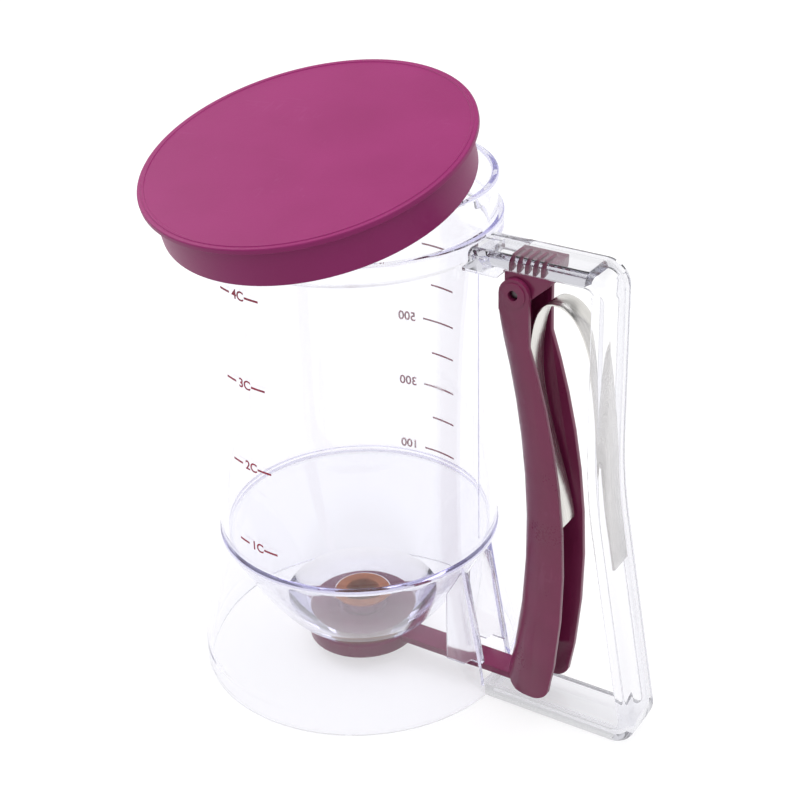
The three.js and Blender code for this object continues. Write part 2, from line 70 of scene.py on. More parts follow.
def arc(x, y, radiusX, radiusY, start, turn=90, steps=6):
    points = []
    for i in range(steps + 1):
        angle = math.radians(start + turn * i / steps)
        points.append((x + radiusX * math.cos(angle), y + radiusY * math.sin(angle)))
    return points


def supported(line, reach=0.7, shortest=6):
    # points near both ends of a long segment keep its shading flat
    points = [Vector(point) for point in line]
    result = [points[0]]
    for first, last in zip(points, points[1:]):
        length = (last - first).length
        if length > shortest * reach:
            result += [first.lerp(last, reach / length), last.lerp(first, reach / length)]
        result.append(last)
    return result


def turned(profile, sides=160):
    bm = bmesh.new()
    verts = [bm.verts.new((radius, 0, height)) for radius, height in supported(profile)]
    edges = [bm.edges.new(pair) for pair in zip(verts, verts[1:] + verts[:1])]
    bmesh.ops.spin(bm, geom=verts + edges, cent=(0, 0, 0), axis=(0, 0, 1), angle=math.tau,
                   steps=sides, use_merge=True)
    bmesh.ops.remove_doubles(bm, verts=bm.verts, dist=mesher["mergeGap"])
    bmesh.ops.recalc_face_normals(bm, faces=bm.faces)
    return bm


def ringOf(bm, points):
    verts = [bm.verts.new(point) for point in points]
    for pair in zip(verts, verts[1:] + verts[:1]):
        bm.edges.new(pair)
    return verts


def edgesOf(bm, ring):
    return [bm.edges.get(pair) for pair in zip(ring, ring[1:] + ring[:1])]


def extrudeRing(bm, ring, points):
    made = bmesh.ops.extrude_edge_only(bm, edges=edgesOf(bm, ring))["geom"]
    fresh = {item for item in made if isinstance(item, bmesh.types.BMVert)}
    moved = [next(e.other_vert(v) for e in v.link_edges if e.other_vert(v) in fresh) for v in ring]
    for vert, point in zip(moved, points):
        vert.co = point
    return moved


def swept(sections):
    bm = bmesh.new()
    first = ring = ringOf(bm, sections[0])
    for points in sections[1:]:
        ring = extrudeRing(bm, ring, points)
    bmesh.ops.edgeloop_fill(bm, edges=edgesOf(bm, first))
    bmesh.ops.edgeloop_fill(bm, edges=edgesOf(bm, ring))
    bmesh.ops.recalc_face_normals(bm, faces=bm.faces)
    return bm


def blockOf(low, high):
    bm = bmesh.new()
    bmesh.ops.create_cube(bm, size=1)
    size = Vector(high) - Vector(low)
    bmesh.ops.scale(bm, vec=size, verts=bm.verts)
    bmesh.ops.translate(bm, vec=Vector(low) + size / 2, verts=bm.verts)
    return bm


def joined(bm, tool, operation="DIFFERENCE"):
    workers = []
    for form in (bm, tool):
        mesh = bpy.data.meshes.new("work")
        form.to_mesh(mesh)
        form.free()
        workers.append(bpy.data.objects.new("work", mesh))
        bpy.context.scene.collection.objects.link(workers[-1])
    modifier = workers[0].modifiers.new("join", "BOOLEAN")
    modifier.operation = operation
    modifier.solver = "EXACT"
    modifier.object = workers[1]
    depsgraph = bpy.context.evaluated_depsgraph_get()
    result = bmesh.new()
    result.from_object(workers[0], depsgraph)
    for worker in workers:
        bpy.data.meshes.remove(worker.data)
    return result


def softened(bm, width, segments=2, above=30):
    bmesh.ops.dissolve_degenerate(bm, dist=mesher["sliver"], edges=bm.edges)
    bmesh.ops.dissolve_limit(bm, angle_limit=math.radians(mesher["flatAngle"]),
                             verts=bm.verts, edges=bm.edges)
    sharp = [e for e in bm.edges if e.is_manifold and e.calc_face_angle(0) > math.radians(above)]
    bmesh.ops.bevel(bm, geom=sharp, offset=width, offset_type="OFFSET", affect="EDGES",
                    segments=segments, profile=0.5, material=-1, clamp_overlap=True)
    return bm


def cadCopy(node):
    bm = bmesh.new()
    bm.from_mesh(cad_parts[node].data)
    bmesh.ops.transform(bm, matrix=toRow.inverted(), verts=bm.verts)
    bmesh.ops.remove_doubles(bm, verts=bm.verts, dist=mesher["cadMergeGap"])
    return bm


def finished(bm, name, body, material, node, angle=35, place=None):
    if place is not None:
        bmesh.ops.transform(bm, matrix=place, verts=bm.verts)
    bmesh.ops.transform(bm, matrix=toRow, verts=bm.verts)
    for face in bm.faces:
        face.smooth = True
    mesh = bpy.data.meshes.new(name)
    bm.to_mesh(mesh)
    bm.free()
    mesh.set_sharp_from_angle(angle=math.radians(angle))
    mesh.materials.append(material)
    piece = bpy.data.objects.new(name, mesh)
    bpy.context.scene.collection.objects.link(piece)
    if body:
        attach(piece, body)
    if node:
        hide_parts(node)
    return piece


# Finishes

def colour(red, green, blue):
    parts = [c / 12.92 if c <= 0.04045 else ((c + 0.055) / 1.055) ** 2.4
             for c in (red / 255, green / 255, blue / 255)]
    return (*parts, 1.0)


def startGroup(name, inputs, outputs):
    group = bpy.data.node_groups.new(name, "ShaderNodeTree")
    for label, value in inputs.items():
        socket = group.interface.new_socket(name=label, in_out="INPUT", socket_type="NodeSocketFloat")
        socket.default_value = value
    for label in outputs:
        group.interface.new_socket(name=label, in_out="OUTPUT", socket_type="NodeSocketFloat")
    start = group.nodes.new("NodeGroupInput")
    end = group.nodes.new("NodeGroupOutput")
    return group, start, end


def objectPoint(tree, scale=(1, 1, 1)):
    coordinate = tree.nodes.new("ShaderNodeTexCoord")
    mapping = tree.nodes.new("ShaderNodeMapping")
    mapping.inputs["Scale"].default_value = scale
    tree.links.new(coordinate.outputs["Object"], mapping.inputs["Vector"])
    return mapping.outputs["Vector"]


def noiseOf(tree, vector, scale, detail=3.0, roughness=0.5):
    node = tree.nodes.new("ShaderNodeTexNoise")
    node.inputs["Detail"].default_value = detail
    node.inputs["Roughness"].default_value = roughness
    tree.links.new(vector, node.inputs["Vector"])
    if isinstance(scale, (int, float)):
        node.inputs["Scale"].default_value = scale
    else:
        tree.links.new(scale, node.inputs["Scale"])
    return node.outputs["Fac"]


def rangeOf(tree, value, fromLow, fromHigh, toLow, toHigh):
    node = tree.nodes.new("ShaderNodeMapRange")
    for label, part in zip(("From Min", "From Max", "To Min", "To Max"), (fromLow, fromHigh, toLow, toHigh)):
        if isinstance(part, (int, float)):
            node.inputs[label].default_value = part
        else:
            tree.links.new(part, node.inputs[label])
    tree.links.new(value, node.inputs["Value"])
    return node.outputs["Result"]


def mathOf(tree, operation, first, second):
    node = tree.nodes.new("ShaderNodeMath")
    node.operation = operation
    for socket, part in zip(node.inputs, (first, second)):
        if isinstance(part, (int, float)):
            socket.default_value = part
        else:
            tree.links.new(part, socket)
    return node.outputs[0]


noiseSpan = (0.3, 0.7)  # the part of a noise's range that its values fill
hazeSpan = (0.35, 0.7)
moulding = {"slowShare": 0.6, "fineShare": 0.4}
scuffing = {
    "directions": ((900, 60, 300), (70, 1000, 420), (500, 300, 60)),
    "patchScale": 45, "patchLift": 0.5, "fade": 0.12,
}
rolling = {"lineScale": (25, 2600, 25), "lineShare": 0.7, "blotchShare": 0.3}


def mouldedSkinGroup():
    group, start, end = startGroup("mouldedSkin", {"mottleScale": 60, "grainScale": 1600},
                                   ["mottle", "gloss", "height"])
    point = objectPoint(group)
    slow = noiseOf(group, point, start.outputs["mottleScale"], 3)
    fine = noiseOf(group, point, start.outputs["grainScale"], 2)
    group.links.new(rangeOf(group, slow, *noiseSpan, 0, 1), end.inputs["mottle"])
    both = mathOf(group, "ADD", mathOf(group, "MULTIPLY", slow, moulding["slowShare"]),
                  mathOf(group, "MULTIPLY", fine, moulding["fineShare"]))
    group.links.new(rangeOf(group, both, *noiseSpan, 0, 1), end.inputs["gloss"])
    group.links.new(fine, end.inputs["height"])
    return group


def scuffGroup():
    group, start, end = startGroup("scuffs", {"density": 0.62}, ["mask"])
    lines = [noiseOf(group, objectPoint(group, scale=direction), 1.0, 2, 0.4)
             for direction in scuffing["directions"]]
    most = mathOf(group, "MAXIMUM", mathOf(group, "MAXIMUM", lines[0], lines[1]), lines[2])
    patch = noiseOf(group, objectPoint(group), scuffing["patchScale"], 2)
    both = mathOf(group, "MULTIPLY", most, mathOf(group, "ADD", patch, scuffing["patchLift"]))
    top = mathOf(group, "ADD", start.outputs["density"], scuffing["fade"])
    group.links.new(rangeOf(group, both, start.outputs["density"], top, 0, 1), end.inputs["mask"])
    return group


def clearSkinGroup():
    group, start, end = startGroup("clearSkin", {"waveScale": 55, "hazeScale": 30}, ["haze", "height"])
    point = objectPoint(group)
    wave = noiseOf(group, point, start.outputs["waveScale"], 1.5, 0.4)
    haze = noiseOf(group, point, start.outputs["hazeScale"], 4, 0.6)
    group.links.new(rangeOf(group, haze, *hazeSpan, 0, 1), end.inputs["haze"])
    group.links.new(wave, end.inputs["height"])
    return group


def rolledGrainGroup():
    group, start, end = startGroup("rolledGrain", {"blotchScale": 90}, ["streak", "height"])
    lines = noiseOf(group, objectPoint(group, scale=rolling["lineScale"]), 1.0, 3, 0.6)
    blotch = noiseOf(group, objectPoint(group), start.outputs["blotchScale"], 3)
    both = mathOf(group, "ADD", mathOf(group, "MULTIPLY", lines, rolling["lineShare"]),
                  mathOf(group, "MULTIPLY", blotch, rolling["blotchShare"]))
    group.links.new(rangeOf(group, both, *noiseSpan, 0, 1), end.inputs["streak"])
    group.links.new(lines, end.inputs["height"])
    return group


mouldedSkin = mouldedSkinGroup()
scuffs = scuffGroup()
clearSkin = clearSkinGroup()
rolledGrain = rolledGrainGroup()


def startMaterial(name):
    material = bpy.data.materials.new(name)
    material.use_nodes = True
    return material, material.node_tree, material.node_tree.nodes["Principled BSDF"]


def placed(tree, group, **values):
    node = tree.nodes.new("ShaderNodeGroup")
    node.node_tree = group
    for label, value in values.items():
        node.inputs[label].default_value = value
    return node


def blendColours(tree, share, low, high):
    node = tree.nodes.new("ShaderNodeMix")
    node.data_type = "RGBA"
    node.inputs["A"].default_value = low
    node.inputs["B"].default_value = high
    tree.links.new(share, node.inputs["Factor"])
    return node.outputs["Result"]


def bumped(tree, shader, height, strength, distance):
    bump = tree.nodes.new("ShaderNodeBump")
    bump.inputs["Strength"].default_value = strength
    bump.inputs["Distance"].default_value = distance
    tree.links.new(height, bump.inputs["Height"])
    tree.links.new(bump.outputs["Normal"], shader.inputs["Normal"])


def mouldedPlastic(name, look):
    material, tree, shader = startMaterial(name)
    skin = placed(tree, mouldedSkin, mottleScale=look["mottleScale"], grainScale=look["grainScale"])
    worn = placed(tree, scuffs, density=look["scuffDensity"])
    base = blendColours(tree, skin.outputs["mottle"], look["shade"], look["light"])
    faded = tree.nodes.new("ShaderNodeMix")
    faded.data_type = "RGBA"
    faded.inputs["B"].default_value = look["scuffed"]
    amount = mathOf(tree, "MULTIPLY", worn.outputs["mask"], look["scuffAmount"])
    tree.links.new(amount, faded.inputs["Factor"])
    tree.links.new(base, faded.inputs["A"])
    tree.links.new(faded.outputs["Result"], shader.inputs["Base Color"])
    gloss = rangeOf(tree, skin.outputs["gloss"], 0, 1, look["roughLow"], look["roughHigh"])
    tree.links.new(gloss, shader.inputs["Roughness"])
    shader.inputs["IOR"].default_value = look["bend"]
    shader.inputs["Specular IOR Level"].default_value = look["shine"]
    bumped(tree, shader, skin.outputs["height"], look["bump"], look["bumpDepth"])
    return material


def clearPlastic(name, look):
    material, tree, shader = startMaterial(name)
    skin = placed(tree, clearSkin, waveScale=look["waveScale"])
    worn = placed(tree, scuffs, density=look["scuffDensity"])
    shader.inputs["Base Color"].default_value = look["tint"]
    shader.inputs["Transmission Weight"].default_value = 1.0
    shader.inputs["IOR"].default_value = look["bend"]
    haze = rangeOf(tree, skin.outputs["haze"], 0, 1, look["roughLow"], look["roughHigh"])
    scuffed = mathOf(tree, "MULTIPLY", worn.outputs["mask"], look["scuffAmount"])
    tree.links.new(mathOf(tree, "ADD", haze, scuffed), shader.inputs["Roughness"])
    bumped(tree, shader, skin.outputs["height"], look["bump"], look["bumpDepth"])
    inside = tree.nodes.new("ShaderNodeVolumeAbsorption")
    inside.inputs["Color"].default_value = look["depthColour"]
    inside.inputs["Density"].default_value = look["depthDensity"]
    tree.links.new(inside.outputs["Volume"], tree.nodes["Material Output"].inputs["Volume"])
    # shadows, scattered light and rays that stay caught in the plastic pass straight through
    path = tree.nodes.new("ShaderNodeLightPath")
    through = tree.nodes.new("ShaderNodeBsdfTransparent")
    through.inputs["Color"].default_value = look["shadowTint"]
    chosen = tree.nodes.new("ShaderNodeMixShader")
    spread = mathOf(tree, "MAXIMUM", path.outputs["Is Shadow Ray"], path.outputs["Is Diffuse Ray"])
    caught = mathOf(tree, "GREATER_THAN", path.outputs["Ray Depth"], look["longest"])
    tree.links.new(mathOf(tree, "MAXIMUM", spread, caught), chosen.inputs["Fac"])
    tree.links.new(shader.outputs["BSDF"], chosen.inputs[1])
    tree.links.new(through.outputs["BSDF"], chosen.inputs[2])
    tree.links.new(chosen.outputs["Shader"], tree.nodes["Material Output"].inputs["Surface"])
    return material


def stripSteel(name, look):
    material, tree, shader = startMaterial(name)
    grain = placed(tree, rolledGrain)
    shader.inputs["Metallic"].default_value = look["metal"]
    tree.links.new(blendColours(tree, grain.outputs["streak"], look["shade"], look["light"]),
                   shader.inputs["Base Color"])
    tree.links.new(rangeOf(tree, grain.outputs["streak"], 0, 1, look["roughLow"], look["roughHigh"]),
                   shader.inputs["Roughness"])
    shader.inputs["Anisotropic"].default_value = look["stretch"]
    bumped(tree, shader, grain.outputs["height"], look["bump"], look["bumpDepth"])
    return material


def printedInk(name, look):
    material, tree, shader = startMaterial(name)
    skin = placed(tree, mouldedSkin, mottleScale=look["mottleScale"], grainScale=look["grainScale"])
    tree.links.new(blendColours(tree, skin.outputs["mottle"], look["shade"], look["light"]),
                   shader.inputs["Base Color"])
    tree.links.new(rangeOf(tree, skin.outputs["gloss"], 0, 1, look["roughLow"], look["roughHigh"]),
                   shader.inputs["Roughness"])
    bumped(tree, shader, skin.outputs["height"], look["bump"], look["bumpDepth"])
    return material


def amberRubber(name, look):
    material, tree, shader = startMaterial(name)
    skin = placed(tree, mouldedSkin, mottleScale=look["mottleScale"], grainScale=look["grainScale"])
    tree.links.new(blendColours(tree, skin.outputs["mottle"], look["shade"], look["light"]),
                   shader.inputs["Base Color"])
    tree.links.new(rangeOf(tree, skin.outputs["gloss"], 0, 1, look["roughLow"], look["roughHigh"]),
                   shader.inputs["Roughness"])
    shader.inputs["Subsurface Weight"].default_value = look["depth"]
    shader.inputs["Subsurface Radius"].default_value = look["depthRadius"]
    shader.inputs["Subsurface Scale"].default_value = 1.0
    bumped(tree, shader, skin.outputs["height"], look["bump"], look["bumpDepth"])
    return material


lidLook = {
    "shade": colour(142, 27, 98), "light": colour(148, 32, 104), "scuffed": colour(164, 78, 132),
    "mottleScale": 40, "grainScale": 1800, "scuffDensity": 0.72, "scuffAmount": 0.12,
    "roughLow": 0.38, "roughHigh": 0.44, "bend": 1.49, "shine": 0.32, "bump": 0.3, "bumpDepth": 0.00006,
}
triggerLook = {
    "shade": colour(122, 34, 76), "light": colour(130, 40, 84), "scuffed": colour(160, 88, 128),
    "mottleScale": 60, "grainScale": 1500, "scuffDensity": 0.72, "scuffAmount": 0.12,
    "roughLow": 0.26, "roughHigh": 0.34, "bend": 1.49, "shine": 0.5, "bump": 0.2, "bumpDepth": 0.00006,
}
clearLook = {
    "tint": colour(250, 250, 252), "bend": 1.52, "roughLow": 0.0, "roughHigh": 0.03,
    "waveScale": 60, "scuffDensity": 0.66, "scuffAmount": 0.05, "bump": 0.12, "bumpDepth": 0.0002,
    "depthColour": (0.70, 0.68, 0.87, 1), "depthDensity": 21, "shadowTint": (0.97, 0.97, 0.98, 1),
    "longest": 11,  # a ray with more bounces than this is taken as caught
}
gripLook = {**clearLook, "waveScale": 110, "depthColour": (0.64, 0.64, 0.69, 1), "depthDensity": 55}
ribLook = {**clearLook, "roughLow": 0.06, "roughHigh": 0.18}
steelLook = {
    "shade": colour(206, 204, 200), "light": colour(234, 232, 228), "roughLow": 0.2, "roughHigh": 0.3,
    "metal": 1.0, "stretch": 0.3, "bump": 0.3, "bumpDepth": 0.00002,
}
# the pin's steel colours are painted shade: darkened for the recess in the ear it sits in, where bare steel
# would be bright
pinPaintedShadeLook = {
    "shade": colour(64, 58, 62), "light": colour(104, 98, 100), "roughLow": 0.3, "roughHigh": 0.42,
    "metal": 1.0, "stretch": 0.3, "bump": 0.3, "bumpDepth": 0.00002,
}
inkLook = {
    "shade": colour(150, 34, 62), "light": colour(176, 44, 74), "mottleScale": 600, "grainScale": 4000,
    "roughLow": 0.35, "roughHigh": 0.6, "bump": 0.2, "bumpDepth": 0.00002,
}
amberLook = {
    "shade": colour(146, 76, 36), "light": colour(168, 94, 48), "mottleScale": 220, "grainScale": 2600,
    "roughLow": 0.35, "roughHigh": 0.5, "bump": 0.2, "bumpDepth": 0.00005,
    "depth": 0.35, "depthRadius": (0.004, 0.002, 0.001),
}

lidPlastic = mouldedPlastic("lidPlastic", lidLook)
triggerPlastic = mouldedPlastic("triggerPlastic", triggerLook)
clearBody = clearPlastic("clearBody", clearLook)
clearGrip = clearPlastic("clearGrip", gripLook)
clearRib = clearPlastic("clearRib", ribLook)
springSteel = stripSteel("springSteel", steelLook)
pinSteelPaintedShade = stripSteel("pinSteelPaintedShade", pinPaintedShadeLook)
markInk = printedInk("markInk", inkLook)
amberSilicone = amberRubber("amberSilicone", amberLook)
print("finishes made")

# Jug shell: barrel, bowl and flared foot, which the photo shows as one clear body
barrel = {
    "radius": 50.9, "wall": 2.4, "foot": 54.4, "floorRise": 0.9,
    "bead": 0.5, "beadHeight": 0.3, "beadFade": 1.6, "beadSteps": 6,
    "seatTop": 177, "seatHeight": 5.5, "seatRadius": 53.1, "seatEase": 0.3,
    "top": 190.5, "rimRadius": 51.3, "rimHeight": 4, "round": 0.8,
    "partingTurn": 0.3, "partingWidth": 0.7, "partingHeight": 0.2, "partingDeep": 0.6,
    "partingFoot": 6, "partingHead": 1,
}
bore = barrel["radius"] - barrel["wall"]
bandRadius = barrel["radius"] + barrel["bead"]
seatFoot = barrel["seatTop"] - barrel["seatHeight"]
seatStep = barrel["seatRadius"] - barrel["radius"]
bowl = {
    "topRadius": 50.2, "wall": 2.5, "foot": 11, "floor": 22.2, "apexRadius": 10.5, "apexHeight": 7.5,
    "curve": 0.54, "gap": 0.3, "bandHeight": 0.9, "flangeRadius": 10.6, "holeRadius": 9.4,
    "flangeSeat": 20.4, "steps": 40, "stepPower": 1.5, "slopeStep": 0.05,
}
bandFoot = barrel["foot"] - bowl["gap"] - bowl["bandHeight"]
foot = {
    "radius": 59.4, "bandHeight": 8, "wall": 2.2, "ease": 0.6, "taper": 0.12, "chamfer": 0.4, "round": 0.5,
    "slotFloor": 5.2, "slotHalf": 9.8, "slotFrom": 42.2, "slotTo": 70, "slotHeadGap": 0.01,
    "bowlSpare": 0.05, "spareRise": 5, "spareSteps": 20,
}


def barrelOutside():
    edge = barrel["round"]
    top = barrel["top"] - edge
    beadTop = barrel["foot"] + barrel["beadHeight"]
    fade, steps, ease = barrel["beadFade"], barrel["beadSteps"], barrel["seatEase"]
    return [
        (bandRadius, beadTop),
        *[(mix(bandRadius, barrel["radius"], 0.5 - 0.5 * math.cos(math.pi * i / steps)),
           beadTop + fade * i / steps) for i in range(1, steps + 1)],
        (barrel["radius"], seatFoot - seatStep),
        (barrel["seatRadius"], seatFoot),
        *arc(barrel["seatRadius"] - edge, barrel["seatTop"] - edge, edge, edge, 0),
        (barrel["radius"] + ease, barrel["seatTop"]),
        (barrel["radius"], barrel["seatTop"] + ease),
        (barrel["radius"], barrel["top"] - barrel["rimHeight"]),
        *arc(barrel["rimRadius"] - edge, top, edge, edge, 0),
        *arc(bore + edge, top, edge, edge, 90),
    ]


def bowlRadius(height):
    rise = (height - bowl["apexHeight"]) / (barrel["foot"] - bowl["apexHeight"])
    return mix(bowl["apexRadius"], bowl["topRadius"], rise ** bowl["curve"])


def shellProfile():
    steps, power, near = bowl["steps"], bowl["stepPower"], bowl["slopeStep"]
    heights = [mix(bowl["foot"], bandFoot, (i / steps) ** power) for i in range(steps + 1)]
    outside = [(bowlRadius(height), height) for height in heights]
    inside = []
    for radius, height in reversed(outside):
        slope = (bowlRadius(height + near) - radius) / near
        length = math.hypot(1, slope)
        inside.append((radius - bowl["wall"] / length, height + bowl["wall"] * slope / length))
    above = [point for point in inside if point[1] > bowl["floor"]]
    below = inside[len(above)]
    share = (above[-1][1] - bowl["floor"]) / (above[-1][1] - below[1])
    above.append((mix(above[-1][0], below[0], share), bowl["floor"]))
    taper, ease, chamfer, rounded = foot["taper"], foot["ease"], foot["chamfer"], foot["round"]
    return [
        (bowl["holeRadius"], bowl["foot"]),
        *outside,
        (bandRadius - foot["wall"], bandFoot),
        (foot["radius"] - foot["wall"] - taper, foot["bandHeight"] + ease),
        (foot["radius"] - foot["wall"], foot["bandHeight"] - ease),
        (foot["radius"] - foot["wall"], chamfer),
        (foot["radius"] - foot["wall"] + chamfer, 0),
        *arc(foot["radius"] - rounded, rounded, rounded, rounded, -90, steps=4),
        (foot["radius"], foot["bandHeight"] - ease),
        (foot["radius"] - taper, foot["bandHeight"] + ease),
        (bandRadius, bandFoot),
        *barrelOutside(),
        (bore, barrel["foot"] + barrel["floorRise"]),
        *above,
        (bowl["flangeRadius"], bowl["floor"]),
        (bowl["flangeRadius"], bowl["flangeSeat"]),
        (bowl["holeRadius"], bowl["flangeSeat"]),
    ]


def slotTool():
    # the block that cuts the arm's slot, less the bowl, which it must leave whole
    block = blockOf((foot["slotFrom"], -foot["slotHalf"], foot["slotFloor"]),
                    (foot["slotTo"], foot["slotHalf"], bandFoot - foot["slotHeadGap"]))
    spare, steps, top = foot["bowlSpare"], foot["spareSteps"], bandFoot + foot["spareRise"]
    heights = [mix(bowl["foot"], bandFoot, i / steps) for i in range(steps + 1)]
    return joined(block, turned([
        (onAxis, 0), (bowlRadius(bowl["foot"]), 0),
        *[(bowlRadius(height) + spare, height) for height in heights],
        (bowlRadius(bandFoot) + spare, top), (onAxis, top),
    ]))


def partingStrip():
    half = barrel["partingWidth"] / 2
    strip = blockOf(
        (barrel["radius"] - barrel["partingDeep"], -half, barrel["foot"] + barrel["partingFoot"]),
        (barrel["radius"] + barrel["partingHeight"], half, seatFoot - seatStep - barrel["partingHead"]))
    bmesh.ops.rotate(strip, matrix=Matrix.Rotation(math.radians(barrel["partingTurn"]), 3, "Z"),
                     verts=strip.verts)
    return strip


shell = joined(turned(shellProfile()), slotTool())
shell = joined(shell, partingStrip(), "UNION")
jugShell = finished(shell, "jugShell", "jug", clearBody, "barrel", angle=28)
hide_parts("bowl", "base_skirt")
print("jug shell made")

# Silicone ring in the outlet
ring = {
    "flangeRadius": 10.3, "bodyRadius": 9.1, "bore": 6.3, "flange": 1.8, "proud": 0.3, "round": 0.5,
    "sides": 96,
}
ringTop = bowl["floor"] + ring["proud"]
sealRound = ring["round"]
finished(turned([
    (ring["bore"], bowl["foot"]),
    (ring["bodyRadius"], bowl["foot"]),
    (ring["bodyRadius"], ringTop - ring["flange"]),
    (ring["flangeRadius"], ringTop - ring["flange"]),
    *arc(ring["flangeRadius"] - sealRound, ringTop - sealRound, sealRound, sealRound, 0, steps=4),
    *arc(ring["bore"] + sealRound, ringTop - sealRound, sealRound, sealRound, 90, steps=4),
], ring["sides"]), "outletRing", "jug", amberSilicone, "outlet_seal")
print("outlet ring made")

# Ribs beside the slot
rib = {"round": 0.25}
for side in ("left", "right"):
    guide = softened(cadCopy("arm_guide_" + side), rib["round"])
    finished(guide, "armGuide" + side.capitalize(), "jug", clearRib, "arm_guide_" + side)
print("ribs made")

# Handle: a channel that opens to the inside of its loop
grip = {
    "width": 19, "top": 176, "reach": 102.99, "corner": 9, "cornerSteps": 14, "support": 1.2,
    "web": 2.3, "wall": 2, "lip": 0.5, "roundDeep": 2.2, "roundWide": 2.8, "mouth": 7.2, "bedHalf": 5,
    "barDepth": 6, "topDepth": 5, "rootDepth": 8.4, "rootReach": 63, "rootBlock": 57,
    "fillDeep": 2, "fillGap": 0.05, "bendStart": 115, "bendRadius": 200, "bendAngle": 9.5,
    "jugBelow": 5,
}
gripHalf = grip["width"] / 2
gripBore = gripHalf - grip["wall"]


def gripLine():
    turn = math.radians(grip["bendAngle"])
    bendX = grip["reach"] + grip["bendRadius"]
    lowX = bendX - grip["bendRadius"] * math.cos(turn)
    lowZ = grip["bendStart"] - grip["bendRadius"] * math.sin(turn)
    corner, steps = grip["corner"], grip["cornerSteps"]
    run = (lowZ - corner - corner * math.sin(turn)) / math.cos(turn)
    endX = lowX + run * math.sin(turn)
    points = [(bore, grip["top"]), (grip["rootReach"], grip["top"]),
              (grip["rootReach"] + grip["rootDepth"] - grip["topDepth"], grip["top"])]
    points += arc(grip["reach"] - corner, grip["top"] - corner, corner, corner, 90, -90, steps)
    points += arc(bendX, grip["bendStart"], grip["bendRadius"], grip["bendRadius"],
                  180, grip["bendAngle"], steps)
    points += arc(endX - corner * math.cos(turn), corner, corner, corner, grip["bendAngle"],
                  -90 - grip["bendAngle"], steps)
    points.append((bore, 0))
    return [Vector(point) for point in points]


def gripSection(depth):
    half, lip, bed = gripHalf, grip["lip"], grip["bedHalf"]
    deep, wide = grip["roundDeep"], grip["roundWide"]
    hollow = depth - grip["web"]
    spread = grip["mouth"] - bed
    return [
        *arc(depth - lip, half - lip, lip, lip, 0, steps=3),
        *arc(deep, half - wide, deep, wide, 90, steps=8),
        *arc(deep, wide - half, deep, wide, 180, steps=8),
        *arc(depth - lip, lip - half, lip, lip, -90, steps=3),
        *arc(depth, -bed, hollow, spread, -90, -90, steps=10),
        *arc(depth, bed, hollow, spread, 180, -90, steps=10),
    ]


def gripDepth(point):
    if point.y < grip["top"] - grip["corner"] / 2:
        return grip["barDepth"]
    return grip["topDepth"] if point.x > grip["rootReach"] else grip["rootDepth"]


def gripSections():
    points = supported(gripLine(), grip["support"])
    sections = []
    for i, point in enumerate(points):
        along = (points[min(len(points) - 1, i + 1)] - points[max(0, i - 1)]).normalized()
        sections.append([(point.x + along.y * depth, across, point.y - along.x * depth)
                         for depth, across in gripSection(gripDepth(point))])
    return sections


def jugSpace():
    gap, low = bowl["gap"], -grip["jugBelow"]
    return turned([
        (onAxis, low), (foot["radius"] + gap, low), (foot["radius"] + gap, foot["bandHeight"]),
        (bandRadius + gap, bandFoot), (bandRadius + gap, barrel["foot"] + barrel["beadHeight"]),
        (barrel["radius"] + gap, barrel["foot"] + barrel["beadHeight"] + barrel["beadFade"]),
        (barrel["radius"] + gap, seatFoot - seatStep - gap), (barrel["seatRadius"] + gap, seatFoot - gap),
        (barrel["seatRadius"] + gap, barrel["top"]), (onAxis, barrel["top"]),
    ])


channel = swept(gripSections())
fillHalf = gripBore + grip["lip"]
fillTop = grip["top"] - grip["fillDeep"]
fills = [
    ((bore, -fillHalf, grip["top"] - grip["topDepth"] + grip["fillGap"]),
     (grip["reach"] - grip["corner"], fillHalf, fillTop)),
    ((bore, -fillHalf, grip["top"] - grip["rootDepth"] + grip["lip"]),
     (grip["rootBlock"], fillHalf, fillTop)),
    ((bore, -fillHalf, grip["fillDeep"]),
     (foot["radius"] + grip["web"], fillHalf, grip["barDepth"] - grip["lip"])),
]
for low, high in fills:
    channel = joined(channel, blockOf(low, high), "UNION")
channel = joined(channel, jugSpace())
finished(channel, "gripFrame", "jug", clearGrip, "handle_frame", angle=30)
print("handle made")

# Trigger, its bracket and pin
lever = {
    "round": 0.3, "roundAbove": 38, "openFrom": 75.2, "openTo": 100, "openHalf": 7.05,
    "openFoot": -1, "openTop": 45,
}
footOpening = blockOf((lever["openFrom"], -lever["openHalf"], lever["openFoot"]),
                      (lever["openTo"], lever["openHalf"], lever["openTop"]))
trigger = softened(joined(cadCopy("trigger"), footOpening), lever["round"], above=lever["roundAbove"])
finished(trigger, "triggerLever", "trigger", triggerPlastic, "trigger", angle=40)
bracket = {
    "bodyTop": 170.6, "ribHalf": 3.3, "ribFrom": 65.6, "ribPitch": 2.9, "ribs": 5, "ribThick": 1.2,
    "ribTop": 172.2, "round": 0.3, "cutFrom": 55, "cutTo": 95, "cutHalf": 12, "cutTop": 180,
}


def bracketForm():
    near, far, wide, high = (bracket[key] for key in ("cutFrom", "cutTo", "cutHalf", "cutTop"))
    body = bracket["bodyTop"]
    form = joined(cadCopy("hinge_block"), blockOf((near, -wide, bracket["ribTop"]), (far, wide, high)))
    for side in (-1, 1):
        inner, outer = sorted((side * bracket["ribHalf"], side * wide))
        form = joined(form, blockOf((near, inner, body), (far, outer, high)))
    for i in range(bracket["ribs"] + 1):
        end = bracket["ribFrom"] + i * bracket["ribPitch"]
        start = end - bracket["ribPitch"] + bracket["ribThick"] if i else near
        last = far if i == bracket["ribs"] else end
        form = joined(form, blockOf((start, -wide, body), (last, wide, high)))
    return form


